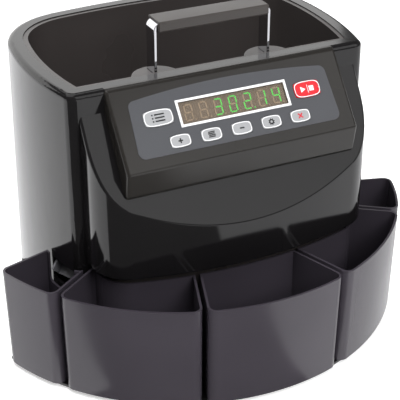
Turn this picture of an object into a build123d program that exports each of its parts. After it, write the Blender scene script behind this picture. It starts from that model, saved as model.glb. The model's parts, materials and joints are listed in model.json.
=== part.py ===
from build123d import *
import os
from math import atan2, cos, degrees, radians, sin, tan

# Coin sorting machine: an open hopper with a lift-up handle over a spinning sorting
# disc, a sloped control panel on a bulged front housing, and five coin bins that pull
# out radially around the front.  X to the right, Y to the back, Z up, millimetres.

os.makedirs("parts", exist_ok=True)

# ---- driving dimensions -------------------------------------------------------------
foot_drop = 2.0                    # rubber feet below the tray
tray_thick = 3.0
base = foot_drop + tray_thick      # the bins and housings stand at this height
rim_z = base + 255.5               # top of the hopper rim
hub_y = 46.5                       # axis of the sorting disc and of the bin circle
wall = 3.0                         # moulded housing walls
gap = 0.3                          # between pieces that move past each other

# rear body, at the height of the rim
front_y = -44.0
front_half = 137.0
side_half = 148.0
back_y = 151.0
rear_corner = (131.0, 137.0)      # where the side and back arcs would meet
rear_corner_radius = 70.0
front_corner_radius = 9.0
corner_shift = (0.76, 0.86)        # how far a corner moves for each millimetre of inset
draft = 1.5                        # how far the sides grow towards the table
back_draft = 9.0                   # how far the middle of the back grows towards the table
rim_width = 13.5
rim_radius = 5.0

# hopper
liner_wall = 2.5
bowl_radius = 70.0
bowl_z = base + 150.0
bowl_slope = 40.0
hopper_taper = 12.0

# front housing
belly_half = 129.0
belly_front_y = -104.5
belly_arc_radius = 358.0
belly_corner = 34.0
belly_top_z = base + 236.0
belly_fall = 1.57                  # height lost for each millimetre forwards
skirt_z = base + 101.0             # lower edge of the front housing
core_inset = 12.0                  # lower core wall, inside the front housing's plan

# control panel box
panel_half = 107.0
panel_top = (-43.8, base + 256.6)
panel_length = 73.3
panel_slope = 51.4
panel_chin = (-86.0, base + 177.0)
panel_wall = 2.5

# display and keys: x, and distance down the panel from its top edge
display_size = (102.0, 23.0)
display_at = 32.2
display_rim = 2.0
key_caps = {
    "key_report": (-68.7, 32.0, 25.8, 14.0),
    "key_start_stop": (69.3, 32.6, 24.6, 14.4),
    "key_plus": (-55.3, 54.2, 18.2, 10.8),
    "key_batch": (-27.3, 54.2, 18.2, 10.8),
    "key_minus": (0.6, 54.2, 18.2, 10.8),
    "key_set": (28.3, 54.2, 18.2, 10.8),
    "key_clear": (56.0, 54.2, 18.2, 10.8),
}
overlay_thick = 0.4
key_proud = 1.2
board_depth = 10.5                 # control board below the panel face

# coin bins
bin_edges = (-73.5, -54.5, -18.8, 18.8, 54.5, 73.5)
bin_height = 94.0
bin_foot_radius = 204.0
bin_rim_radius = 206.5
bin_wall = 2.0
bin_floor = 2.5
bin_gap = 4.0
bin_inset = 8.0                    # back walls of the front bins, under the skirt

# handle
leg_x = 52.75
strap_width = 16.0
strap_thick = 2.5
strap_y = -17.0
strap_top = base + 296.0
leg_bottom = base + 198.0
guide_top = base + 252.0
guide_bottom = base + 156.0
guide_radius = 21.5

# sorting drive
disc_radius = 72.0
disc_z = base + 134.0
disc_thick = 6.0
deck_z = base + 128.0
frame_z = base + 92.0
shaft_radius = 5.0
pulley_z = base + 104.0
disc_pulley_radius = 30.0
motor_pulley_radius = 10.0
motor_x = 62.0
motor_y = hub_y + 42.0
belt_thick = 1.5
belt_width = 8.0

# mains inlet and switch, in the back
inlet_x = -16.0
inlet_z = base + 38.0
switch_x = 20.0
rocker_pin = 1.1                   # radius of the rocker's two pivot pins
rocker_tilt = 8.0


def save(piece, name):
    """Label one finished piece and write its STEP file."""
    piece.part.label = name
    export_step(piece.part, f"parts/{name}.step")


def polar(radius, angle, height=0.0):
    """A point round the hub; the angle is from straight ahead, positive to the right."""
    a = radians(angle)
    return (radius * sin(a), hub_y - radius * cos(a), height)


def rear_outline(grow, inset=0.0, back_grow=0.0):
    """Plan of the rear body: flat front, bowed sides and back."""
    front_x = front_half - corner_shift[0] * inset
    corner_x = rear_corner[0] + grow - corner_shift[0] * inset
    corner_y = rear_corner[1] + grow - corner_shift[1] * inset
    side_x = side_half + grow - inset
    back = back_y + grow + back_grow - inset
    with BuildSketch() as outline:
        with BuildLine():
            Line((-front_x, front_y + inset), (front_x, front_y + inset))
            ThreePointArc((front_x, front_y + inset), (side_x, 42), (corner_x, corner_y))
            ThreePointArc((corner_x, corner_y), (0, back), (-corner_x, corner_y))
            ThreePointArc((-corner_x, corner_y), (-side_x, 42), (-front_x, front_y + inset))
        make_face()
        fillet(outline.vertices().group_by(Axis.Y)[-1], rear_corner_radius - inset)
        if inset < front_corner_radius - 1:
            fillet(outline.vertices().group_by(Axis.Y)[0], front_corner_radius - inset)
    return outline.sketch


def belly_outline(inset=0.0, back=front_y):
    """Plan of the front housing: straight sides, round corners, bowed front."""
    side_front = belly_front_y + belly_half**2 / (2 * belly_arc_radius)
    with BuildSketch() as outline:
        with BuildLine():
            Polyline((belly_half, side_front), (belly_half, back + 40), (-belly_half, back + 40),
                     (-belly_half, side_front))
            ThreePointArc((-belly_half, side_front), (0, belly_front_y), (belly_half, side_front))
        make_face()
        fillet(outline.vertices().group_by(Axis.Y)[0], belly_corner)
        if inset:
            offset(amount=-inset, mode=Mode.REPLACE)
        with Locations((0, back - 150)):
            Rectangle(400, 300, mode=Mode.INTERSECT)
    return outline.sketch


def grow_at(height):
    """Outward draft of the rear body at a height, and how much more its back grows there."""
    share = (rim_z - height) / (rim_z - base)
    return draft * share, (back_draft - draft) * share


def body_outline(height, inset=0.0):
    """Plan of the rear body at a height."""
    side_grow, back_grow = grow_at(height)
    return rear_outline(side_grow, inset, back_grow)


# ---- base tray and feet ---------------------------------------------------------------
with BuildPart() as base_tray:
    with BuildSketch(Plane.XY.offset(foot_drop)):
        with BuildLine():
            Line((0, hub_y, 0), polar(bin_foot_radius - 4, bin_edges[-1]))
            ThreePointArc(polar(bin_foot_radius - 4, bin_edges[-1]), polar(bin_foot_radius - 4, 0),
                          polar(bin_foot_radius - 4, bin_edges[0]))
            Line(polar(bin_foot_radius - 4, bin_edges[0]), (0, hub_y, 0))
        make_face()
        add(body_outline(base))
    extrude(amount=tray_thick)
    with Locations((0, 105, foot_drop)):
        with GridLocations(14, 0, 9, 1):
            Box(5, 46, 20, mode=Mode.SUBTRACT)
    fillet(base_tray.edges().group_by(Axis.Z)[0].filter_by(GeomType.CIRCLE).sort_by(SortBy.LENGTH)[-1], 1)
save(base_tray, "base_tray")

foot_spots = ((-120, 125), (120, 125), (-135, -62), (135, -62), (0, -135))
with BuildPart() as rubber_feet:
    for spot in foot_spots:
        with BuildSketch():
            with Locations(spot):
                Circle(9)
        extrude(amount=foot_drop)
    fillet(rubber_feet.edges().group_by(Axis.Z)[0], 0.8)
save(rubber_feet, "rubber_feet")

# ---- rear body -------------------------------------------------------------------------
window_angle = (bin_edges[-1] + bin_edges[-2]) / 2
window_height = 79.0               # middle of a side window, below the rims of the bins
window_size = (34.0, 22.0)


def window_plane(side, radius, height):
    """A plane across the way out to a side bin, facing the bin."""
    a = radians(window_angle)
    return Plane(origin=polar(radius, side * window_angle, height),
                 x_dir=(cos(a), side * sin(a), 0), z_dir=(side * sin(a), -cos(a), 0))


chute_opening = (216.0, 20.0, 130.0)
inlet_opening = (72.0, 40.0, 30.0)
vent_slot = (3.4, 40.0, 34.0)
vent_pitch = 9.0
vent_count = 11
with BuildPart() as rear_housing:
    for level in (base, rim_z):
        with BuildSketch(Plane.XY.offset(level)):
            add(body_outline(level))
    loft()
    fillet(rear_housing.edges().group_by(Axis.Z)[-1], rim_radius)
    for level in (base - 2, rim_z - 6):
        with BuildSketch(Plane.XY.offset(level)):
            add(body_outline(level, wall))
    loft(mode=Mode.SUBTRACT)
    with BuildSketch(Plane.XY.offset(rim_z)):
        add(rear_outline(0, rim_width))
    extrude(amount=-2.5, mode=Mode.SUBTRACT)
    with BuildSketch(Plane.XY.offset(rim_z)):
        add(rear_outline(0, rim_width + 1.2))
    extrude(amount=-20, mode=Mode.SUBTRACT)
    # opening behind the front housing, for the chutes
    with Locations((0, front_y, base + 90)):
        Box(*chute_opening, mode=Mode.SUBTRACT)
    # coin exits to the two side bins
    for side in (-1, 1):
        with BuildSketch(window_plane(side, 120, base + window_height)):
            RectangleRounded(*window_size, 3)
        extrude(amount=70, mode=Mode.SUBTRACT)
    # inlet opening and cooling slots in the back
    with Locations((0, back_y, inlet_z)):
        Box(*inlet_opening, mode=Mode.SUBTRACT)
    with Locations((0, back_y, base + 95)):
        with GridLocations(vent_pitch, 0, vent_count, 1):
            Box(*vent_slot, mode=Mode.SUBTRACT)
save(rear_housing, "rear_housing")

# ---- hopper ----------------------------------------------------------------------------


def hopper_space(inset, drop):
    """The hollow of the hopper: leaning walls that run into a cone round the hub."""
    high = rim_z + 20
    reach = 130
    rise = reach * tan(radians(bowl_slope))
    with BuildPart() as space:
        with BuildSketch(Plane.XY.offset(bowl_z - 20)):
            add(rear_outline(-hopper_taper, inset))
        with BuildSketch(Plane.XY.offset(high)):
            add(rear_outline(1.5, inset))
        loft()
        with BuildSketch(Plane.XZ.offset(-hub_y)):
            with BuildLine():
                Polyline((0, bowl_z - drop), (bowl_radius, bowl_z - drop),
                         (bowl_radius + reach, bowl_z - drop + rise), (bowl_radius + reach, high),
                         (0, high), close=True)
            make_face()
        revolve(axis=Axis((0, hub_y, 0), (0, 0, 1)), mode=Mode.INTERSECT)
    return space.part


liner_inset = rim_width + 4
liner_top = rim_z - 2.3            # its lip lies in the step of the rim
lip_thick = 1.5
hollow = hopper_space(liner_inset, 0)
with BuildPart() as hopper_liner:
    add(hopper_space(liner_inset - liner_wall, liner_wall / cos(radians(bowl_slope))))
    with BuildSketch(Plane.XY.offset(liner_top)):
        Rectangle(400, 400)
    extrude(amount=60, mode=Mode.SUBTRACT)
    with BuildSketch(Plane.XY.offset(liner_top)):
        add(rear_outline(0, rim_width + 0.2))
    extrude(amount=lip_thick)
    add(hollow, mode=Mode.SUBTRACT)
    with BuildSketch(Plane.XY.offset(bowl_z - 20)):
        with Locations((0, hub_y)):
            Circle(bowl_radius)
    extrude(amount=40, mode=Mode.SUBTRACT)
save(hopper_liner, "hopper_liner")

for side, name in ((-1, "handle_guide_left"), (1, "handle_guide_right")):
    with BuildPart() as guide:
        with BuildSketch(Plane.XY.offset(guide_bottom)):
            with Locations((side * leg_x, front_y + liner_inset)):
                Circle(guide_radius)
        extrude(amount=guide_top - guide_bottom)
        fillet(guide.edges().group_by(Axis.Z)[-1], 1.5)
        add(hollow, mode=Mode.INTERSECT)
        with BuildSketch(Plane.XY.offset(guide_bottom + 2)):
            with Locations((side * leg_x, strap_y)):
                Rectangle(strap_thick + 2 * gap, strap_width + 2 * gap)
        extrude(amount=120, mode=Mode.SUBTRACT)
    save(guide, name)

# ---- lift-up handle --------------------------------------------------------------------
with BuildPart() as handle_strap:
    with BuildSketch(Plane.XZ.offset(-strap_y)) as strap_face:
        with Locations((0, (strap_top + leg_bottom) / 2)):
            Rectangle(2 * leg_x + strap_thick, strap_top - leg_bottom)
        fillet(strap_face.vertices().group_by(Axis.Z)[-1], 6)
        with Locations((0, (strap_top + leg_bottom) / 2 - strap_thick)):
            Rectangle(2 * leg_x - strap_thick, strap_top - leg_bottom, mode=Mode.SUBTRACT)
    extrude(amount=strap_width / 2, both=True)
    inner = handle_strap.edges().filter_by(Axis.Y).filter_by(
        lambda e: abs(e.center().Z - strap_top + strap_thick) < 0.01)
    fillet(inner, 3.5)
    fillet(handle_strap.edges().filter_by(Axis.Z), 0.5)
save(handle_strap, "handle_strap")

grip_length = 2 * leg_x - strap_thick - 2
with BuildPart() as handle_grip:
    with Locations((0, strap_y, strap_top - strap_thick / 2 - 1.5)):
        Box(grip_length, 23, 9.5)
    fillet(handle_grip.edges().filter_by(Axis.X).group_by(Axis.Z)[-1], 1.6)
    fillet(handle_grip.edges().filter_by(Axis.X).group_by(Axis.Z)[0], 2.6)
    fillet(handle_grip.edges().filter_by(Axis.Z), 0.6)
    add(handle_strap.part, mode=Mode.SUBTRACT)
save(handle_grip, "handle_grip")

# ---- front housing ---------------------------------------------------------------------


def belly_z(y):
    """Height of the sloped belly face at a depth."""
    return belly_top_z + (y - front_y) * belly_fall


def belly_block(inset):
    """The front housing's volume, moved inwards by an inset."""
    drop = inset * (1 + belly_fall**2) ** 0.5
    far = belly_front_y - 20
    with BuildPart() as block:
        with BuildSketch(Plane.XY.offset(skirt_z)):
            add(belly_outline(inset))
        extrude(amount=200)
        with BuildSketch(Plane.YZ):
            with BuildLine():
                Polyline((far, skirt_z), (front_y, skirt_z), (front_y, belly_z(front_y) - drop),
                         (far, belly_z(far) - drop), close=True)
            make_face()
        extrude(amount=200, both=True, mode=Mode.INTERSECT)
    return block.part


with BuildPart() as front_housing:
    add(belly_block(0))
    slope_face = front_housing.faces().filter_by(lambda f: 0.3 < f.normal_at().Z < 0.9)
    slope_edges = slope_face.edges().filter_by(lambda e: e.center().Y < front_y - 1)
    fillet(slope_edges, 2.5)
    fillet(front_housing.edges().group_by(Axis.Z)[0].filter_by(
        lambda e: e.center().Y < front_y - 1), 2)
    add(belly_block(wall), mode=Mode.SUBTRACT)
    # cable hole behind the control panel
    with Locations((60, -60, base + 205)):
        Cylinder(8, 40, mode=Mode.SUBTRACT)
save(front_housing, "front_housing")

with BuildPart() as core_housing:
    with BuildSketch(Plane.XY.offset(base)):
        add(belly_outline(core_inset))
        add(belly_outline(core_inset + 2.5), mode=Mode.SUBTRACT)
    extrude(amount=98)
    with BuildSketch(Plane.XY.offset(base + 95.5)):
        add(belly_outline(core_inset))
        add(belly_outline(core_inset + 9), mode=Mode.SUBTRACT)
    extrude(amount=2.5)
save(core_housing, "core_housing")

# ---- control panel ---------------------------------------------------------------------
slope = radians(panel_slope)
down_y = -cos(slope)
down_z = -sin(slope)
panel_plane = Plane(origin=(0, panel_top[0], panel_top[1]), x_dir=(1, 0, 0),
                    z_dir=(0, down_z, -down_y))


panel_foot = (panel_top[0] + panel_length * down_y, panel_top[1] + panel_length * down_z)
panel_apex = (panel_top[0] + (rim_z - panel_top[1]) * down_y / down_z, rim_z)
heel_y = panel_chin[0] + 2.5
panel_heel = (heel_y, belly_z(heel_y) + gap)
panel_back = (front_y, belly_z(front_y) + gap)


def panel_hollow():
    """The space inside the control panel box."""
    with BuildPart() as space:
        with BuildSketch(Plane.YZ):
            with BuildLine():
                Polyline((front_y, rim_z), panel_apex, panel_foot, panel_chin, panel_heel, panel_back,
                         close=True)
            make_face()
            offset(amount=-panel_wall, kind=Kind.INTERSECTION, mode=Mode.REPLACE)
        extrude(amount=panel_half - panel_wall, both=True)
    return space.part


display_hole = (display_size[0] - 2 * display_rim, display_size[1] - 2 * display_rim)


def key_outline(width, height):
    """A key's outline: every side bowed outwards, with small round corners."""
    half_w = width / 2
    half_h = height / 2
    corner_x = half_w - 0.03 * width
    corner_y = half_h - 0.09 * height
    with BuildSketch() as outline:
        with BuildLine():
            ThreePointArc((-corner_x, -corner_y), (0, -half_h), (corner_x, -corner_y))
            ThreePointArc((corner_x, -corner_y), (half_w, 0), (corner_x, corner_y))
            ThreePointArc((corner_x, corner_y), (0, half_h), (-corner_x, corner_y))
            ThreePointArc((-corner_x, corner_y), (-half_w, 0), (-corner_x, -corner_y))
        make_face()
        fillet(outline.vertices(), 1.6)
    return outline.sketch


def panel_profile(rim_side):
    """Side profile of the control panel box: its body, or the sliver that lies on the rim."""
    rim_start = (front_y, rim_z - rim_radius)
    rim_end = (front_y + rim_radius, rim_z)
    swing = rim_radius * (1 - cos(radians(45)))
    with BuildSketch() as profile:
        with BuildLine():
            ThreePointArc(rim_start, (front_y + swing, rim_z - swing), rim_end)
            Polyline(rim_end, panel_apex, panel_foot, panel_chin, panel_heel, panel_back, rim_start)
        make_face()
        for corner, radius in ((panel_apex, 6), (panel_foot, 4.5), (panel_chin, 3)):
            fillet(profile.vertices().sort_by_distance(corner)[0], radius)
        with Locations((front_y + (100 if rim_side else -100), rim_z)):
            Rectangle(200, 400, mode=Mode.INTERSECT)
    return profile.sketch


# opening through the floor of the box, into the front housing, for the wiring
wiring_back = front_y - 4
wiring_front = -82.0
with BuildPart() as panel_housing:
    with BuildSketch(Plane.YZ):
        add(panel_profile(False))
    extrude(amount=panel_half, both=True)
    side_edges = panel_housing.edges().filter_by(
        lambda e: abs(e.center().X) > panel_half - 0.01 and e.center().Y < front_y - 0.5
        and e.center().Z > belly_z(e.center().Y) + 4)
    fillet(side_edges, 3)
    with BuildSketch(Plane.YZ):
        add(panel_profile(True))
    extrude(amount=panel_half - 1, both=True)
    add(panel_hollow(), mode=Mode.SUBTRACT)
    with BuildSketch(Plane.YZ):
        with BuildLine():
            Polyline((wiring_back, belly_z(wiring_back) - 8),
                     (wiring_back, belly_z(wiring_back) + 9),
                     (wiring_front, belly_z(wiring_front) + 9),
                     (wiring_front, belly_z(wiring_front) - 8), close=True)
        make_face()
    extrude(amount=panel_half - 12, both=True, mode=Mode.SUBTRACT)
    with BuildSketch(panel_plane):
        with Locations((0, -display_at)):
            Rectangle(display_hole[0] + 0.4, display_hole[1] + 0.4)
        for x, down, width, height in key_caps.values():
            with Locations((x, -down)):
                add(key_outline(width + 2 * gap, height + 2 * gap))
    extrude(amount=-2 * panel_wall, mode=Mode.SUBTRACT)
save(panel_housing, "panel_housing")

overlay_half_top = 91.0
overlay_half_foot = 93.5
overlay_shoulder = -15.0
overlay_crown = -9.0
overlay_foot = -63.4
with BuildPart() as panel_overlay:
    with BuildSketch(panel_plane) as overlay_face:
        with BuildLine():
            Polyline((-overlay_half_top, overlay_shoulder), (-overlay_half_foot, overlay_foot),
                     (overlay_half_foot, overlay_foot), (overlay_half_top, overlay_shoulder))
            ThreePointArc((overlay_half_top, overlay_shoulder), (0, overlay_crown),
                          (-overlay_half_top, overlay_shoulder))
        make_face()
        fillet(overlay_face.vertices(), 6)
        with Locations((0, -display_at)):
            Rectangle(display_hole[0] + 0.4, display_hole[1] + 0.4, mode=Mode.SUBTRACT)
        for x, down, width, height in key_caps.values():
            with Locations((x, -down)):
                add(key_outline(width + 2 * gap, height + 2 * gap), mode=Mode.SUBTRACT)
    extrude(amount=overlay_thick)
save(panel_overlay, "panel_overlay")

with BuildPart() as display_frame:
    with BuildSketch(panel_plane.offset(overlay_thick)) as frame_face:
        with Locations((0, -display_at)):
            Rectangle(*display_size)
            Rectangle(*display_hole, mode=Mode.SUBTRACT)
    extrude(amount=0.5)
save(display_frame, "display_frame")

with BuildPart() as display_window:
    with BuildSketch(panel_plane.offset(-0.6)):
        with Locations((0, -display_at)):
            Rectangle(*display_hole)
    extrude(amount=0.6 + overlay_thick)
save(display_window, "display_window")

module_face = -1.6
with BuildPart() as display_module:
    with BuildSketch(panel_plane.offset(module_face)):
        with Locations((0, -display_at)):
            Rectangle(display_hole[0] - 1, display_hole[1] - 1)
    extrude(amount=-(board_depth + module_face))
save(display_module, "display_module")

# seven-segment digits: which segments glow, top, upper left, upper right, middle,
# lower left, lower right, bottom; then the decimal point
digit_pitch = 13.6
digit_width = 7.6
digit_height = 14.4
stroke = 1.3
dark = (0, 0, 0, 0, 0, 0, 0, 0)
digits = (
    dark,
    dark,
    (1, 0, 1, 1, 0, 1, 1, 0),
    (1, 1, 1, 0, 1, 1, 1, 0),
    (1, 0, 1, 1, 1, 0, 1, 1),
    (0, 0, 1, 0, 0, 1, 0, 0),
    (0, 1, 1, 1, 0, 1, 0, 0),
)
half_w = digit_width / 2 - stroke / 2
half_h = digit_height / 2 - stroke / 2
segment_spots = (
    (0, half_h, digit_width - 2 * stroke, stroke),
    (-half_w, half_h / 2, stroke, half_h - stroke / 2),
    (half_w, half_h / 2, stroke, half_h - stroke / 2),
    (0, 0, digit_width - 2 * stroke, stroke),
    (-half_w, -half_h / 2, stroke, half_h - stroke / 2),
    (half_w, -half_h / 2, stroke, half_h - stroke / 2),
    (0, -half_h, digit_width - 2 * stroke, stroke),
    (digit_width / 2 + 2.0, -half_h, stroke, stroke),
)
lean = 0.09                         # sideways lean of the digits
segment_gap = 0.3
segment_thick = 0.3


def segments(glowing):
    """Every segment that glows, or every one that doesn't, as thin bars."""
    with BuildPart() as bars:
        for place, digit in enumerate(digits):
            centre = (place - 3) * digit_pitch
            for state, (x, y, width, height) in zip(digit, segment_spots):
                if bool(state) == glowing:
                    with BuildSketch(panel_plane.offset(module_face)):
                        with Locations((centre + x + lean * y, y - display_at)):
                            Rectangle(width - segment_gap, height - segment_gap)
                    extrude(amount=segment_thick)
    return bars


save(segments(True), "lit_segments")
save(segments(False), "unlit_segments")

board_size = (180.0, 37.0)
board_at = 41.5                     # middle of the board, down the panel
board_thick = 1.6
push_switch = 6.0
push_height = 3.5
with BuildPart() as control_board:
    with BuildSketch(panel_plane.offset(-board_depth)):
        with Locations((0, -board_at)):
            Rectangle(*board_size)
    extrude(amount=-board_thick)
    # one push switch under each key
    with BuildSketch(panel_plane.offset(-board_depth)):
        for x, down, width, height in key_caps.values():
            with Locations((x, -down)):
                Rectangle(push_switch, push_switch)
    extrude(amount=push_height)
save(control_board, "control_board")

# each key: its cap through the panel, a flange behind it, and a stem down to its push switch
flange_depth = panel_wall + 1.9
flange_thick = 1.2
flange_grow = 2.2
stem_radius = 2.0
stem_gap = 0.7                      # the key's travel, before the switch
key_foot = -(board_depth - push_height) + stem_gap
for name, (x, down, width, height) in key_caps.items():
    with BuildPart() as key:
        with BuildSketch(panel_plane.offset(-flange_depth)):
            with Locations((x, -down)):
                add(key_outline(width + flange_grow, height + flange_grow))
        extrude(amount=flange_thick)
        with BuildSketch(panel_plane.offset(-flange_depth)):
            with Locations((x, -down)):
                add(key_outline(width, height))
        extrude(amount=flange_depth + key_proud)
        cap_face = key.faces().sort_by(lambda f: f.center().Z - f.center().Y)[-1]
        fillet(cap_face.edges(), 0.5)
        with BuildSketch(panel_plane.offset(-flange_depth)):
            with Locations((x, -down)):
                Circle(stem_radius)
        extrude(amount=key_foot + flange_depth)
    save(key, name)

# ---- coin bins -------------------------------------------------------------------------


def bin_outline(first, last, height, inset=0.0):
    """Plan of the bin between two angles, at a height above the table."""
    rise = (height - base) / bin_height
    radius = bin_foot_radius + (bin_rim_radius - bin_foot_radius) * rise
    with BuildSketch() as outline:
        with BuildLine():
            Polyline((0, hub_y), polar(400, first)[:2], polar(400, (first + last) / 2)[:2],
                     polar(400, last)[:2], close=True)
        make_face()
        offset(amount=-bin_gap / 2, mode=Mode.REPLACE)
        with Locations((0, hub_y)):
            Circle(radius, mode=Mode.INTERSECT)
        add(belly_outline(bin_inset, back=front_y + 30), mode=Mode.SUBTRACT)
        add(body_outline(height, -2), mode=Mode.SUBTRACT)
        ends = outline.vertices().filter_by(lambda v: at_angle(v, first) or at_angle(v, last))
        outer = ends.filter_by(lambda v: Vector(v.X, v.Y - hub_y).length > radius - 1)
        inner = ends.filter_by(lambda v: Vector(v.X, v.Y - hub_y).length < radius - 1)
        fillet(outer, 8)
        fillet(inner, 4)
        if inset:
            offset(amount=-inset, mode=Mode.REPLACE)
    return outline.sketch


def at_angle(vertex, angle):
    """Whether a corner lies near a dividing line."""
    return abs(degrees(atan2(vertex.X, hub_y - vertex.Y)) - angle) < 2.2


bin_foot = base + 0.2
side_bins = {1: -1, 5: 1}
notch_depth = 28.0
bin_rim = base + bin_height
for number, (first, last) in enumerate(zip(bin_edges, bin_edges[1:]), start=1):
    with BuildPart() as coin_bin:
        for level in (bin_foot, bin_rim):
            with BuildSketch(Plane.XY.offset(level)):
                add(bin_outline(first, last, level))
        loft()
        for level in (bin_foot + bin_floor, bin_rim):
            with BuildSketch(Plane.XY.offset(level)):
                add(bin_outline(first, last, level, bin_wall))
        loft(mode=Mode.SUBTRACT)
        # the side bins' back walls are cut away in front of the windows
        if number in side_bins:
            with BuildSketch(window_plane(side_bins[number], 145, bin_rim)):
                RectangleRounded(window_size[0] + 4, 2 * notch_depth, 4)
            extrude(amount=34, mode=Mode.SUBTRACT)
    save(coin_bin, f"coin_bin_{number}")

# ---- sorting drive ---------------------------------------------------------------------
deck_radius = 88.0
deck_thick = 3.0
ring_radius = 84.0
ring_height = 16.0
outlet_size = (30.0, 30.0, 8.5)
bearing_radius = 11.0
bearing_room = bearing_radius + 1
pad_radius = 64.0
pad_hole = 16.0
pad_thick = 3.0
cone_radius = 15.5
frame_thick = 3.0
frame_size = (150.0, 110.0)
pulley_flange = 1.5
motor_radius = 19.0
motor_length = 62.0
motor_flange = 46.0
motor_shaft_radius = 3.0
with BuildPart() as sorting_deck:
    with BuildSketch(Plane.XY.offset(deck_z)):
        with Locations((0, hub_y)):
            Circle(deck_radius)
        add(rear_outline(0, 8))
        with Locations((0, -130)):
            Rectangle(400, 400, mode=Mode.SUBTRACT)
        with Locations((0, hub_y)):
            Circle(deck_radius)
            Circle(bearing_room, mode=Mode.SUBTRACT)
    extrude(amount=deck_thick)
save(sorting_deck, "sorting_deck")

with BuildPart() as sorting_ring:
    with BuildSketch(Plane.XY.offset(deck_z + deck_thick)):
        with Locations((0, hub_y)):
            Circle(ring_radius)
            Circle(disc_radius + 1, mode=Mode.SUBTRACT)
    extrude(amount=ring_height)
    for first, last in zip(bin_edges, bin_edges[1:]):
        middle = (first + last) / 2
        with Locations(Location(polar(78, middle, deck_z + 11 + 4), (0, 0, middle))):
            Box(*outlet_size, mode=Mode.SUBTRACT)
save(sorting_ring, "sorting_ring")

with BuildPart() as sorting_disc:
    with BuildSketch(Plane.XY.offset(disc_z)):
        with Locations((0, hub_y)):
            Circle(disc_radius)
    extrude(amount=disc_thick)
    fillet(sorting_disc.edges().group_by(Axis.Z)[-1], 1)
    with Locations((0, hub_y, disc_z)):
        Cylinder(shaft_radius, 40, mode=Mode.SUBTRACT)
save(sorting_disc, "sorting_disc")

with BuildPart() as disc_pad:
    with BuildSketch(Plane.XY.offset(disc_z + disc_thick)):
        with Locations((0, hub_y)):
            Circle(pad_radius)
            Circle(pad_hole, mode=Mode.SUBTRACT)
    extrude(amount=pad_thick)
    fillet(disc_pad.edges().group_by(Axis.Z)[-1], 1)
save(disc_pad, "disc_pad")

cone_foot = disc_z + disc_thick
with BuildPart() as disc_cone:
    with BuildSketch(Plane.XZ.offset(-hub_y)):
        with BuildLine():
            Polyline((3, cone_foot + 20), (0, cone_foot + 20), (0, cone_foot),
                     (cone_radius, cone_foot), (cone_radius, cone_foot + 4))
            ThreePointArc((cone_radius, cone_foot + 4), (8.5, cone_foot + 15), (3, cone_foot + 20))
        make_face()
    revolve(axis=Axis((0, hub_y, 0), (0, 0, 1)))
save(disc_cone, "disc_cone")

with BuildPart() as disc_shaft:
    with BuildSketch(Plane.XY.offset(frame_z - 4)):
        with Locations((0, hub_y)):
            Circle(shaft_radius)
    extrude(amount=disc_z + disc_thick - frame_z + 4)
    chamfer(disc_shaft.edges().group_by(Axis.Z)[0], 0.8)
save(disc_shaft, "disc_shaft")

with BuildPart() as shaft_bearings:
    for low in (frame_z, deck_z - 3):
        with BuildSketch(Plane.XY.offset(low)):
            with Locations((0, hub_y)):
                Circle(bearing_radius)
                Circle(shaft_radius + 0.05, mode=Mode.SUBTRACT)
        extrude(amount=3 if low == frame_z else 6)
save(shaft_bearings, "shaft_bearings")


def pulley(x, y, radius, bore):
    """A flanged belt pulley."""
    with BuildPart() as wheel:
        with BuildSketch(Plane.XY.offset(pulley_z)):
            with Locations((x, y)):
                Circle(radius)
        extrude(amount=belt_width + 2)
        for low in (pulley_z - pulley_flange, pulley_z + belt_width + 2):
            with BuildSketch(Plane.XY.offset(low)):
                with Locations((x, y)):
                    Circle(radius + 2.5)
            extrude(amount=pulley_flange)
        with BuildSketch(Plane.XY.offset(pulley_z - 5)):
            with Locations((x, y)):
                Circle(bore)
        extrude(amount=40, mode=Mode.SUBTRACT)
    return wheel


save(pulley(0, hub_y, disc_pulley_radius, shaft_radius), "disc_pulley")
save(pulley(motor_x, motor_y, motor_pulley_radius, motor_shaft_radius), "motor_pulley")


def belt_loop(extra):
    """Plan of the belt round both pulleys, at a distance off their rims."""
    with BuildSketch() as loop:
        with Locations((0, hub_y)):
            Circle(disc_pulley_radius + extra)
        with Locations((motor_x, motor_y)):
            Circle(motor_pulley_radius + extra)
        make_hull()
    return loop.sketch


with BuildPart() as drive_belt:
    with BuildSketch(Plane.XY.offset(pulley_z + 1)):
        add(belt_loop(0.2 + belt_thick))
        add(belt_loop(0.2), mode=Mode.SUBTRACT)
    extrude(amount=belt_width)
save(drive_belt, "drive_belt")

with BuildPart() as drive_frame:
    with BuildSketch(Plane.XY.offset(frame_z)):
        with Locations((20, hub_y + 20)):
            RectangleRounded(*frame_size, 10)
        with Locations((0, hub_y)):
            Circle(bearing_radius, mode=Mode.SUBTRACT)
        with Locations((motor_x, motor_y)):
            Circle(8, mode=Mode.SUBTRACT)
    extrude(amount=frame_thick)
    post_spots = ((-46, 20), (86, 20), (-46, 113), (86, 113))
    with BuildSketch(Plane.XY.offset(frame_z + frame_thick)):
        with Locations(*post_spots):
            Circle(5)
    extrude(amount=deck_z - frame_z - frame_thick)
save(drive_frame, "drive_frame")

with BuildPart() as drive_motor:
    with BuildSketch(Plane.XY.offset(frame_z - motor_length)):
        with Locations((motor_x, motor_y)):
            Circle(motor_radius)
    extrude(amount=motor_length)
    with BuildSketch(Plane.XY.offset(frame_z - 5)):
        with Locations((motor_x, motor_y)):
            RectangleRounded(motor_flange, motor_flange, 6)
    extrude(amount=5)
    fillet(drive_motor.edges().group_by(Axis.Z)[0], 2)
save(drive_motor, "drive_motor")

with BuildPart() as motor_shaft:
    with BuildSketch(Plane.XY.offset(frame_z + 0.3)):
        with Locations((motor_x, motor_y)):
            Circle(motor_shaft_radius)
    extrude(amount=pulley_z + belt_width + 6 - frame_z)
save(motor_shaft, "motor_shaft")

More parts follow.
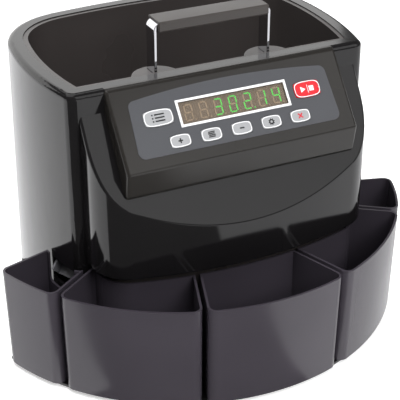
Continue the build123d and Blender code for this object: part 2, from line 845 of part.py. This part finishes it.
# ---- exit chutes and their coin counters --------------------------------------------------
chute_start = (85.0, deck_z + 8)
chute_ends = {1: (150.0, base + 71.0), 2: (154.0, base + 104.0), 3: (136.0, base + 104.0),
              4: (154.0, base + 104.0), 5: (150.0, base + 71.0)}
chute_width = 31.0
chute_wall = 2.0
chute_depth = 12.0


def chute_plane(number, along):
    """A plane across a chute, facing down it, some way along."""
    first, last = bin_edges[number - 1:number + 1]
    angle = (first + last) / 2
    end_radius, end_z = chute_ends[number]
    start = Vector(*polar(chute_start[0], angle, chute_start[1]))
    end = Vector(*polar(end_radius, angle, end_z))
    way = (end - start).normalized()
    across = (cos(radians(angle)), sin(radians(angle)), 0)
    return Plane(origin=start + way * along, x_dir=across, z_dir=way), (end - start).length


for number in chute_ends:
    section_plane, length = chute_plane(number, 0)
    with BuildPart() as chute:
        with BuildSketch(section_plane):
            with Locations((0, chute_depth / 2)):
                Rectangle(chute_width, chute_depth)
            with Locations((0, chute_depth / 2 + chute_wall)):
                Rectangle(chute_width - 2 * chute_wall, chute_depth, mode=Mode.SUBTRACT)
        extrude(amount=length)
    save(chute, f"exit_chute_{number}")

with BuildPart() as count_sensors:
    for number in chute_ends:
        section_plane, length = chute_plane(number, 22)
        with BuildSketch(section_plane):
            with Locations((0, chute_depth + 3)):
                Rectangle(chute_width, 6)
        extrude(amount=9)
save(count_sensors, "count_sensors")

# ---- electrics -----------------------------------------------------------------------------
main_board_at = (-78, 60)
main_board_z = base + 10.0          # middle of the board's thickness
main_board_size = (80, 100)
# chips and connectors: x, y, width, depth, height
components = (
    (-95, 75, 16, 16, 3),
    (-62, 90, 24, 10, 10),
    (-95, 35, 30, 8, 9),
    (-60, 50, 10, 22, 5),
)
standoff = 9.2
with BuildPart() as main_board:
    with Locations((*main_board_at, main_board_z)):
        Box(*main_board_size, board_thick)
    for x, y, width, depth, height in components:
        with Locations((x, y, main_board_z + board_thick / 2 + height / 2)):
            Box(width, depth, height)
    with Locations((*main_board_at, base + standoff / 2)):
        with GridLocations(68, 90, 2, 2):
            Cylinder(3, standoff)
save(main_board, "main_board")

transformer_at = (90, 20)
with BuildPart() as power_supply:
    with Locations((*transformer_at, base + 1.5)):
        Box(70, 60, 3)
    # laminated core and the winding through it
    with Locations((*transformer_at, base + 23)):
        Box(46, 40, 40)
        Box(34, 52, 28)
save(power_supply, "power_supply")

plate_setback = 8.9                # behind the middle of the bowed back
plate_y = back_y + sum(grow_at(inlet_z)) - plate_setback
plate_width = 78.0
plate_height = 36.0
with BuildPart() as inlet_plate:
    with Locations((0, plate_y, inlet_z)):
        Box(plate_width, 3, plate_height)
    # raised border
    with Locations((0, plate_y + 2.4, inlet_z)):
        Box(plate_width, 2, plate_height)
        Box(plate_width - 7, 4, plate_height - 7, mode=Mode.SUBTRACT)
    with Locations((inlet_x, plate_y, inlet_z)):
        Box(27, 10, 20, mode=Mode.SUBTRACT)
    with Locations((switch_x, plate_y, inlet_z)):
        Box(13, 10, 19, mode=Mode.SUBTRACT)
save(inlet_plate, "inlet_plate")

with BuildPart() as power_inlet:
    with Locations((inlet_x, plate_y + 2.5, inlet_z)):
        Box(32, 2, 25)
    with Locations((inlet_x, plate_y - 10, inlet_z)):
        Box(26.8, 23, 19.8)
    with BuildSketch(Plane.XZ.offset(-plate_y - 4)) as socket:
        with Locations((inlet_x, inlet_z)):
            Rectangle(24, 16.5)
        chamfer(socket.vertices().group_by(Axis.Z)[-1], 4)
    extrude(amount=19, mode=Mode.SUBTRACT)
    blades = ((-7, -2), (0, 2), (7, -2))
    with Locations([(inlet_x + x, plate_y - 9, inlet_z + z) for x, z in blades]):
        Box(2, 15, 4)
save(power_inlet, "power_inlet")

with BuildPart() as switch_bezel:
    with Locations((switch_x, plate_y + 2.5, inlet_z)):
        Box(17, 2, 23)
    with Locations((switch_x, plate_y - 7, inlet_z)):
        Box(12.8, 17, 18.8)
    with Locations((switch_x, plate_y, inlet_z)):
        Box(10.4, 14, 16.4, mode=Mode.SUBTRACT)
    with BuildSketch(Plane.YZ.offset(switch_x)):
        with Locations((plate_y, inlet_z)):
            Circle(rocker_pin + 0.15)
    extrude(amount=7, both=True, mode=Mode.SUBTRACT)
save(switch_bezel, "switch_bezel")

with BuildPart() as power_rocker:
    with BuildSketch(Plane.YZ.offset(switch_x)) as rocker_face:
        with BuildLine():
            Polyline((plate_y - 4.5, inlet_z), (plate_y - 0.5, inlet_z - 7),
                     (plate_y + 4.0, inlet_z - 7.2), (plate_y + 3.2, inlet_z),
                     (plate_y + 4.0, inlet_z + 7.2), (plate_y - 0.5, inlet_z + 7), close=True)
        make_face()
    extrude(amount=4.8, both=True)
    with BuildSketch(Plane.YZ.offset(switch_x)):
        with Locations((plate_y, inlet_z)):
            Circle(rocker_pin)
    extrude(amount=6.2, both=True)
rocker_axis = Axis((switch_x, plate_y, inlet_z), (1, 0, 0))
power_rocker.part = power_rocker.part.rotate(rocker_axis, rocker_tilt)
save(power_rocker, "power_rocker")

with BuildPart() as case_screws:
    for x, y in ((-132, 60), (132, 60), (-60, 140), (60, 140)):
        with BuildSketch(Plane.XY.offset(foot_drop - 1.6)):
            with Locations((x, y)):
                Circle(3.5)
        extrude(amount=1.6)
save(case_screws, "case_screws")
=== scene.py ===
"""Coin sorting machine: materials, printed details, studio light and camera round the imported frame."""
import json
import math

import bmesh
import bpy
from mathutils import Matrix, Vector


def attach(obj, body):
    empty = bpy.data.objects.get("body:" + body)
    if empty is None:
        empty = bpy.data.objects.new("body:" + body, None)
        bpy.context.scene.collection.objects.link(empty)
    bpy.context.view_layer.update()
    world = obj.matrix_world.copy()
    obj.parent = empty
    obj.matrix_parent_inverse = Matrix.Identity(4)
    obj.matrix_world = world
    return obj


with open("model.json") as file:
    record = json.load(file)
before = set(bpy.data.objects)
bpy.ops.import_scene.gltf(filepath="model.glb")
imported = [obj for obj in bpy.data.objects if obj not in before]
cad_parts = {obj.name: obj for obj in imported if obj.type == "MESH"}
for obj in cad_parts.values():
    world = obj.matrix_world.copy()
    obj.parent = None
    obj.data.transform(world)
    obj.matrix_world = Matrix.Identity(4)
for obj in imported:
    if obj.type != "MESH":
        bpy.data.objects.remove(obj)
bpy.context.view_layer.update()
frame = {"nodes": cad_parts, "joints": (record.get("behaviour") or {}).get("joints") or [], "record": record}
nodes = frame["nodes"]

SCENE = bpy.context.scene
SCENE.view_settings.view_transform = "Standard"
MM = 0.001
COAT_ROUGHNESS = 0.05

# the control panel's face: right, up the slope, and out of it, which is against the keys' travel
PRESS = next(joint["axis"] for joint in frame["joints"] if joint["name"] == "report_press")
RIGHT = Vector((1, 0, 0))
OUT = -Vector(PRESS).normalized()
UP_PANEL = OUT.cross(RIGHT)


# ---- node helpers -------------------------------------------------------------------------
def scaled(colour, factor, lift=0.0):
    """A colour made brighter or darker, up to white."""
    return tuple(min(1.0, channel * factor + lift) for channel in colour[:3]) + (1.0,)


def srgb(red, green, blue):
    """A colour given as 0-255 screen values, as linear light."""
    def channel(value):
        value /= 255
        return value / 12.92 if value <= 0.04045 else ((value + 0.055) / 1.055) ** 2.4
    return (channel(red), channel(green), channel(blue), 1.0)


class Recipe:
    """A node material with the few operations that the finishes here share."""

    def __init__(self, name, roughness, metallic=0.0, coat=0.0, ior=1.5):
        self.mat = bpy.data.materials.new(name)
        self.mat.use_nodes = True
        self.tree = self.mat.node_tree
        self.shader = self.tree.nodes["Principled BSDF"]
        self.shader.inputs["Roughness"].default_value = roughness
        self.shader.inputs["Metallic"].default_value = metallic
        self.shader.inputs["Coat Weight"].default_value = coat
        self.shader.inputs["Coat Roughness"].default_value = COAT_ROUGHNESS
        self.shader.inputs["IOR"].default_value = ior
        self.place = self.add("ShaderNodeTexCoord").outputs["Object"]

    def add(self, kind, **settings):
        """A new node, with its properties set."""
        node = self.tree.nodes.new(kind)
        for key, value in settings.items():
            setattr(node, key, value)
        return node

    def link(self, source, target):
        """Joins an output to an input."""
        self.tree.links.new(source, target)

    def stretch(self, scale):
        """The object's coordinates, scaled along each axis."""
        node = self.add("ShaderNodeMapping")
        node.inputs["Scale"].default_value = scale
        self.link(self.place, node.inputs["Vector"])
        return node.outputs["Vector"]

    def noise(self, scale, detail=3.0, vector=None, rough=0.5):
        """Cloudy noise from 0 to 1; the scale is in waves for each metre."""
        node = self.add("ShaderNodeTexNoise")
        node.inputs["Scale"].default_value = scale
        node.inputs["Detail"].default_value = detail
        node.inputs["Roughness"].default_value = rough
        self.link(vector or self.place, node.inputs["Vector"])
        return node.outputs["Fac"]

    def spread(self, value, low, high, out_low, out_high):
        """Maps low..high of a value to out_low..out_high."""
        node = self.add("ShaderNodeMapRange")
        self.link(value, node.inputs["Value"])
        node.inputs["From Min"].default_value = low
        node.inputs["From Max"].default_value = high
        node.inputs["To Min"].default_value = out_low
        node.inputs["To Max"].default_value = out_high
        return node.outputs["Result"]

    def mix(self, factor, first, second):
        """A colour between two colours."""
        node = self.add("ShaderNodeMix", data_type="RGBA")
        self.link(factor, node.inputs["Factor"])
        for socket, value in ((node.inputs["A"], first), (node.inputs["B"], second)):
            if isinstance(value, tuple):
                socket.default_value = value
            else:
                self.link(value, socket)
        return node.outputs["Result"]

    def colour(self, value):
        """Sets the base colour to a constant, or to a node's output."""
        if isinstance(value, tuple):
            self.shader.inputs["Base Color"].default_value = value
        else:
            self.link(value, self.shader.inputs["Base Color"])

    def rough(self, value):
        """Drives the roughness with a node's output."""
        self.link(value, self.shader.inputs["Roughness"])

    def bump(self, height, depth, strength=1.0):
        """Surface relief from a height of 0 to 1; the depth is in metres."""
        node = self.add("ShaderNodeBump")
        node.inputs["Strength"].default_value = strength
        node.inputs["Distance"].default_value = depth
        self.link(height, node.inputs["Height"])
        self.link(node.outputs["Normal"], self.shader.inputs["Normal"])


def moulded(name, base, rough, grain=0.0, swing=0.12):
    """Moulded plastic: faint cloudiness, fingerprints in the gloss, orange peel or a fine grain."""
    made = Recipe(name, roughness=rough)
    cloud = made.noise(scale=9.0, detail=2.0)
    made.colour(made.mix(made.spread(cloud, 0.3, 0.7, 0.0, 1.0),
                         scaled(base, 1 - swing), scaled(base, 1 + swing)))
    smudge = made.noise(scale=22.0, detail=2.0)
    made.rough(made.spread(smudge, 0.3, 0.8, rough * 0.9, rough * 1.15))
    if grain:
        made.bump(made.noise(scale=2600.0, detail=2.0), grain, strength=0.5)
    else:
        made.bump(made.noise(scale=70.0, detail=2.0), 0.02 * MM, strength=0.4)
    return made.mat


def brushed(name, base, rough=0.3, along=(1, 1, 40)):
    """Brushed or drawn metal: fine streaks along one axis."""
    made = Recipe(name, roughness=rough, metallic=1.0)
    streak = made.noise(scale=60.0, detail=6.0, vector=made.stretch(along), rough=0.7)
    made.colour(made.mix(streak, scaled(base, 0.8), base))
    made.rough(made.spread(streak, 0.3, 0.7, rough * 0.75, rough * 1.3))
    made.bump(streak, 0.03 * MM, strength=0.3)
    return made.mat


def rubber(name, base, rough=0.75):
    """Rubber: dusty bloom and a fine pebble."""
    made = Recipe(name, roughness=rough)
    bloom = made.noise(scale=45.0, detail=5.0)
    made.colour(made.mix(made.spread(bloom, 0.45, 0.8, 0.0, 0.7), base, scaled(base, 1.6, 0.01)))
    made.rough(made.spread(bloom, 0.3, 0.8, rough * 0.85, min(1.0, rough * 1.2)))
    made.bump(made.noise(scale=1500.0, detail=3.0), 0.06 * MM, strength=0.5)
    return made.mat


def circuit(name):
    """Green circuit board: copper tracks under the solder mask."""
    made = Recipe(name, roughness=0.35, coat=0.4)
    track = made.add("ShaderNodeTexBrick")
    track.inputs["Scale"].default_value = 160.0
    track.inputs["Mortar Size"].default_value = 0.012
    track.inputs["Color1"].default_value = srgb(20, 74, 44)
    track.inputs["Color2"].default_value = srgb(24, 84, 50)
    track.inputs["Mortar"].default_value = srgb(48, 122, 74)
    made.link(made.place, track.inputs["Vector"])
    made.colour(track.outputs["Color"])
    made.bump(track.outputs["Fac"], 0.04 * MM, strength=0.4)
    return made.mat


def chrome(name):
    """Bright plated steel with faint draw marks and finger smears."""
    made = Recipe(name, roughness=0.06, metallic=1.0)
    smear = made.noise(scale=30.0, detail=5.0)
    made.colour(made.mix(smear, srgb(196, 196, 200), srgb(232, 232, 236)))
    made.rough(made.spread(smear, 0.4, 0.8, 0.04, 0.16))
    draw_marks = made.noise(scale=90.0, detail=2.0, vector=made.stretch((1, 6, 1)))
    made.bump(draw_marks, 0.02 * MM, strength=0.3)
    return made.mat


def glow(name, colour, strength):
    """Lit display segment: glowing, with a brighter core."""
    made = Recipe(name, roughness=0.5)
    made.colour(srgb(40, 150, 50))
    shade = made.noise(scale=220.0, detail=1.0)
    made.link(made.mix(shade, colour, scaled(colour, 1.25)), made.shader.inputs["Emission Color"])
    made.shader.inputs["Emission Strength"].default_value = strength
    return made.mat


def smoked(name):
    """Smoked clear plastic over the digits."""
    made = Recipe(name, roughness=0.08, ior=1.45)
    made.colour(srgb(120, 108, 94))
    made.shader.inputs["Alpha"].default_value = 0.22
    made.bump(made.noise(scale=60.0, detail=2.0), 0.01 * MM, strength=0.3)
    return made.mat


BODY = moulded("body_gloss", srgb(19, 18, 19), rough=0.09)
PANEL = moulded("panel_satin", srgb(34, 32, 30), rough=0.24)
BIN = moulded("bin_gloss", srgb(57, 53, 60), rough=0.24)
HOPPER = moulded("hopper_satin", srgb(56, 52, 51), rough=0.3)
OVERLAY = moulded("overlay_film", srgb(67, 68, 72), rough=0.32, grain=0.02 * MM, swing=0.03)
WHITE = moulded("white_print", srgb(228, 228, 230), rough=0.3, swing=0.02)
BLACK_PRINT = moulded("black_print", srgb(24, 24, 26), rough=0.35, swing=0.05)
KEY = moulded("key_grey", srgb(150, 151, 153), rough=0.3, swing=0.03)
KEY_RED = moulded("key_red", srgb(198, 26, 38), rough=0.28, swing=0.04)
RED_PRINT = moulded("red_print", srgb(190, 32, 48), rough=0.35, swing=0.04)
DISPLAY = moulded("display_body", srgb(112, 98, 84), rough=0.4, swing=0.04)
UNLIT = moulded("segment_dark", srgb(172, 150, 124), rough=0.45, swing=0.04)
LIT = glow("segment_lit", srgb(70, 240, 84), 0.9)
WINDOW = smoked("window_smoke")
CHROME = chrome("strap_chrome")
GRIP = moulded("grip_satin", srgb(58, 54, 52), rough=0.36, grain=0.04 * MM)
FOOT = rubber("foot_rubber", srgb(30, 30, 31))
STEEL = brushed("plain_steel", srgb(176, 176, 178))
DISC = brushed("disc_steel", srgb(188, 188, 188), rough=0.24, along=(1, 30, 1))
PAD = rubber("pad_rubber", srgb(52, 52, 54), rough=0.6)
NYLON = moulded("nylon", srgb(206, 202, 190), rough=0.42, grain=0.03 * MM, swing=0.05)
BRONZE = brushed("bronze", srgb(176, 128, 72), rough=0.35)
MOTOR = moulded("motor_paint", srgb(60, 60, 64), rough=0.35, grain=0.03 * MM)
BOARD = circuit("board_green")
SENSOR = moulded("sensor_black", srgb(34, 34, 36), rough=0.5, grain=0.04 * MM)
DECK = moulded("deck_plastic", srgb(104, 104, 108), rough=0.42, grain=0.03 * MM)
SWITCH = moulded("switch_black", srgb(36, 36, 38), rough=0.3, grain=0.02 * MM)

BY_SLOT = {
    "body_plastic": BODY, "panel_plastic": PANEL, "bin_plastic": BIN, "hopper_plastic": HOPPER,
    "overlay_film": OVERLAY, "white_print": WHITE, "window_smoke": WINDOW, "display_body": DISPLAY,
    "segment_lit": LIT, "segment_dark": UNLIT, "key_grey": KEY, "key_red": KEY_RED,
    "strap_chrome": CHROME, "grip_rubber": GRIP, "foot_rubber": FOOT, "steel": STEEL,
    "disc_steel": DISC, "pad_rubber": PAD, "nylon": NYLON, "bronze": BRONZE, "belt_rubber": FOOT,
    "motor_metal": MOTOR, "board_green": BOARD, "sensor_black": SENSOR, "deck_plastic": DECK,
    "switch_black": SWITCH,
}


def placed(name, data):
    """A new object in the scene."""
    made = bpy.data.objects.new(name, data)
    SCENE.collection.objects.link(made)
    return made


def dress_nodes():
    """Every CAD node takes the material of its slot in the record."""
    slots = {part["node"]: part["material_slot"] for part in frame["record"]["subparts"]}
    for name, piece in nodes.items():
        piece.data.materials.clear()
        piece.data.materials.append(BY_SLOT[slots[name]])


# ---- printed marks on the keys --------------------------------------------------------------
PRINT_THICK = 0.09 * MM
PRINT_SUNK = 0.02 * MM
FACE_DEPTH = 0.6 * MM                # corners this far down still belong to a key's face
SQUIRCLE = 3.5                       # power of the keys' bowed, round-cornered outline
OUTLINE_MARGIN = 0.35 * MM
OUTLINE_WIDTH = 0.7 * MM
ARM = 0.55 * MM                      # half the thickness of a sign's arms


def top_face(node):
    """The middle of a key's face, and half its width and height, from its highest corners."""
    points = [v.co for v in nodes[node].data.vertices]
    top = max(point.dot(OUT) for point in points)
    face = [point for point in points if point.dot(OUT) > top - FACE_DEPTH]
    across = [point.dot(RIGHT) for point in face]
    along = [point.dot(UP_PANEL) for point in face]
    middle = (RIGHT * (max(across) + min(across)) + UP_PANEL * (max(along) + min(along))) / 2
    return middle + OUT * top, (max(across) - min(across)) / 2, (max(along) - min(along)) / 2


def squircle(half_width, half_height, steps=64):
    """The outline of a key, in metres."""
    outline = []
    for i in range(steps):
        turn = 2 * math.pi * i / steps
        x = math.cos(turn)
        y = math.sin(turn)
        outline.append((math.copysign(abs(x) ** (2 / SQUIRCLE), x) * half_width,
                        math.copysign(abs(y) ** (2 / SQUIRCLE), y) * half_height))
    return outline


def bar(x, y, width, height):
    """A rectangle, in metres."""
    return [(x - width / 2, y - height / 2), (x + width / 2, y - height / 2),
            (x + width / 2, y + height / 2), (x - width / 2, y + height / 2)]


def cross(reach, half, turn=0.0):
    """A plus sign, or a times sign when turned."""
    corners = [(half, -reach), (half, -half), (reach, -half), (reach, half), (half, half),
               (half, reach), (-half, reach), (-half, half), (-reach, half), (-reach, -half),
               (-half, -half), (-half, -reach)]
    cosine = math.cos(turn)
    sine = math.sin(turn)
    return [(x * cosine - y * sine, x * sine + y * cosine) for x, y in corners]


def gear(outer, root, teeth=8):
    """The outline of a small gear."""
    outline = []
    for i in range(teeth * 4):
        turn = 2 * math.pi * (i + 0.5) / (teeth * 4)
        radius = outer if i % 4 in (0, 1) else root
        outline.append((radius * math.cos(turn), radius * math.sin(turn)))
    return outline


def circle(radius, steps):
    """A round outline with as many corners as the gear that it goes inside."""
    return [(radius * math.cos(2 * math.pi * (i + 0.5) / steps),
             radius * math.sin(2 * math.pi * (i + 0.5) / steps)) for i in range(steps)]


def printed(name, key, shapes, rings, material, slot):
    """Thin raised print on a key: filled shapes, and rings between two outlines."""
    centre = top_face(key)[0]
    mesh = bmesh.new()

    def corner(point, lift):
        return mesh.verts.new(centre + RIGHT * point[0] + UP_PANEL * point[1] + OUT * lift)

    low = -PRINT_SUNK
    high = PRINT_THICK
    for shape in shapes:
        bottom = [corner(point, low) for point in shape]
        top = [corner(point, high) for point in shape]
        mesh.faces.new(top)
        mesh.faces.new(bottom[::-1])
        for i in range(len(shape)):
            j = (i + 1) % len(shape)
            mesh.faces.new((bottom[i], bottom[j], top[j], top[i]))
    for outer, inner in rings:
        loops = [[corner(point, lift) for point in outline]
                 for outline, lift in ((outer, low), (outer, high), (inner, high), (inner, low))]
        for first, second in zip(loops, loops[1:] + loops[:1]):
            for i in range(len(outer)):
                j = (i + 1) % len(outer)
                mesh.faces.new((first[i], first[j], second[j], second[i]))
    bmesh.ops.recalc_face_normals(mesh, faces=mesh.faces)
    data = bpy.data.meshes.new(name)
    mesh.to_mesh(data)
    mesh.free()
    data.materials.append(material)
    piece = placed(name, data)
    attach(piece, key + "_body")


def outline_key(key):
    """The white outline inside a key's edge."""
    half_width, half_height = top_face(key)[1:]
    outer = squircle(half_width - OUTLINE_MARGIN, half_height - OUTLINE_MARGIN)
    inset = OUTLINE_MARGIN + OUTLINE_WIDTH
    inner = squircle(half_width - inset, half_height - inset)
    printed(key + "_outline", key, [], [(outer, inner)], WHITE, "white_print")


def stack_of_coins():
    """Four coins on end, not quite in line: level in the stack, and sideways shift."""
    coin_width = 6 * MM
    coin_thick = 0.95 * MM
    pitch = 1.35 * MM
    return [bar(shift * MM, level * pitch, coin_width, coin_thick)
            for level, shift in ((-1.5, 0.0), (-0.5, 0.4), (0.5, -0.2), (1.5, 0.2))]


def list_lines():
    """Three lines of a list, each with its dot."""
    pitch = 2.7 * MM
    thick = 1.2 * MM
    lines = []
    for level in (-1, 0, 1):
        lines.append(bar(-5 * MM, level * pitch, 1.3 * MM, thick))
        lines.append(bar(1.2 * MM, level * pitch, 8.6 * MM, thick))
    return lines


def play_and_stop():
    """A triangle and a square, with a thin line between them."""
    play = [(-6.2 * MM, -2.6 * MM), (-1.6 * MM, 0), (-6.2 * MM, 2.6 * MM)]
    stop = bar(4.0 * MM, 0, 4.4 * MM, 4.4 * MM)
    divider = bar(0.4 * MM, 0, 0.45 * MM, 7 * MM)
    return [play, stop, divider]


def print_keys():
    """A white outline on every key, and a generic sign in place of its word."""
    for key in [name for name in nodes if name.startswith("key_")]:
        outline_key(key)
    plus = cross(2.1 * MM, ARM)
    minus = bar(0, 0, 4.2 * MM, 2 * ARM)
    times = cross(2.9 * MM, ARM, math.pi / 4)
    gear_ring = (gear(2.9 * MM, 2.2 * MM), circle(1.1 * MM, 32))
    black = (BLACK_PRINT, "body_plastic")
    printed("key_plus_sign", "key_plus", [plus], [], *black)
    printed("key_minus_sign", "key_minus", [minus], [], *black)
    printed("key_batch_sign", "key_batch", stack_of_coins(), [], *black)
    printed("key_set_sign", "key_set", [], [gear_ring], *black)
    printed("key_clear_sign", "key_clear", [times], [], RED_PRINT, "key_red")
    printed("key_report_sign", "key_report", list_lines(), [], *black)
    printed("key_start_stop_sign", "key_start_stop", play_and_stop(), [], WHITE, "white_print")


# ---- studio -------------------------------------------------------------------------------
FLOOR_GLOW = 0.5
FLOOR_REACH = 60                     # metres: the floor's edge stays out of sight
WORLD_LIGHT = 0.14
CARD_DEPTH = 5 * MM                  # of the reflector cards, below the floor
LIGHTS_AIM = (0, 0, 0.12)
CAMERA_PLACE = (-0.4388, -0.9111, 0.6656)
CAMERA_AIM = (0.3807, 0.7909, -0.4792)
CAMERA_LENS = 113.2
WHITE_LIGHT = (1, 1, 1, 1)


def area_light(name, place, size, power):
    """A soft rectangular light aimed at the machine."""
    data = bpy.data.lights.new(name, "AREA")
    data.shape = "RECTANGLE"
    data.size, data.size_y = size
    data.energy = power
    lamp = placed(name, data)
    lamp.location = place
    aim = Vector(LIGHTS_AIM) - Vector(place)
    lamp.rotation_euler = aim.to_track_quat("-Z", "Y").to_euler()
    return lamp


def softbox(name, place, size, radiance):
    """An area light given by its brightness as seen in a mirror."""
    area_light(name, place, size, math.pi * math.pi / 4 * size[0] * size[1] * radiance)


def fill_light(name, place, size, power):
    """Soft light that the gloss doesn't mirror."""
    lamp = area_light(name, place, size, power)
    lamp.visible_glossy = False


def stage_card(name, corners, material):
    """A flat four-cornered piece of the studio."""
    mesh = bpy.data.meshes.new(name)
    mesh.from_pydata(corners, [], [(0, 1, 2, 3)])
    mesh.materials.append(material)
    card = placed(name, mesh)
    return card


def level_corners(low, high, height):
    """The corners of a level rectangle, seen from above."""
    return [(low[0], low[1], height), (high[0], low[1], height),
            (high[0], high[1], height), (low[0], high[1], height)]


def build_floor():
    """Plain white floor, which the gloss of the plastics doesn't mirror."""
    made = Recipe("floor_white", roughness=0.7)
    shade = made.noise(scale=3.0, detail=2.0)
    made.colour(made.mix(shade, (0.88, 0.88, 0.88, 1), (0.92, 0.92, 0.92, 1)))
    made.shader.inputs["Emission Color"].default_value = WHITE_LIGHT
    made.shader.inputs["Emission Strength"].default_value = FLOOR_GLOW
    made.shader.inputs["Specular IOR Level"].default_value = 0.0
    corners = level_corners((-FLOOR_REACH, -FLOOR_REACH), (FLOOR_REACH, FLOOR_REACH), 0)
    floor = stage_card("floor", corners, made.mat)
    floor.visible_glossy = False


def mirrored_card(name, corners, noise_scale, dim, strength):
    """A glowing card that is seen only in the gloss of the plastics."""
    made = Recipe(name + "_glow", roughness=0.8)
    made.colour((0, 0, 0, 1))
    shade = made.noise(scale=noise_scale, detail=2.0)
    made.link(made.mix(shade, dim, WHITE_LIGHT), made.shader.inputs["Emission Color"])
    made.shader.inputs["Emission Strength"].default_value = strength
    card = stage_card(name, corners, made.mat)
    card.visible_camera = False
    card.visible_diffuse = False
    card.visible_shadow = False
    return card


def reflector(name, low, high, strength):
    """A card under the floor, mirrored by the upright walls."""
    corners = level_corners(low, high, -CARD_DEPTH)
    mirrored_card(name, corners, noise_scale=1.5, dim=(0.8, 0.8, 0.82, 1), strength=strength)


def build_backdrop(centre, size, strength):
    """An upright card behind the machine, mirrored by the rim and the upper edges."""
    half_width = size[0] / 2
    half_height = size[1] / 2
    corners = [(-half_width, 0, -half_height), (half_width, 0, -half_height),
               (half_width, 0, half_height), (-half_width, 0, half_height)]
    card = mirrored_card("backdrop", corners, noise_scale=1.2, dim=(0.85, 0.84, 0.82, 1),
                         strength=strength)
    card.location = centre


def build_world():
    """Dim grey surroundings, so that black plastic stays black."""
    world = bpy.data.worlds.new("studio")
    SCENE.world = world
    world.use_nodes = True
    background = world.node_tree.nodes["Background"]
    background.inputs["Color"].default_value = (1, 0.99, 0.98, 1)
    background.inputs["Strength"].default_value = WORLD_LIGHT


def build_camera():
    """A long lens from the front left, a little above."""
    data = bpy.data.cameras.new("camera")
    data.lens = CAMERA_LENS
    camera = placed("camera", data)
    camera.location = CAMERA_PLACE
    camera.rotation_euler = Vector(CAMERA_AIM).to_track_quat("-Z", "Y").to_euler()
    SCENE.camera = camera


build_camera()
build_world()
build_floor()
reflector("card_left", low=(-4, -0.12), high=(-0.16, 4), strength=1.6)
reflector("card_back", low=(-0.16, 0.165), high=(4, 4), strength=1.6)
reflector("card_right", low=(0.04, -3), high=(4, 0.165), strength=1.3)
softbox("overhead", place=(-0.5, 0.5, 2.2), size=(2.6, 2.2), radiance=1.3)
softbox("front_right", place=(1.0, -1.9, 1.5), size=(2.2, 1.6), radiance=1.3)
fill_light("fill_front", place=(0.2, -2.2, 2.0), size=(1.8, 1.4), power=56)
fill_light("fill_top", place=(-0.6, -0.2, 2.6), size=(1.6, 1.6), power=42)
build_backdrop(centre=(-0.4, 2.6, 1.1), size=(4.4, 1.9), strength=1.7)
dress_nodes()
print_keys()
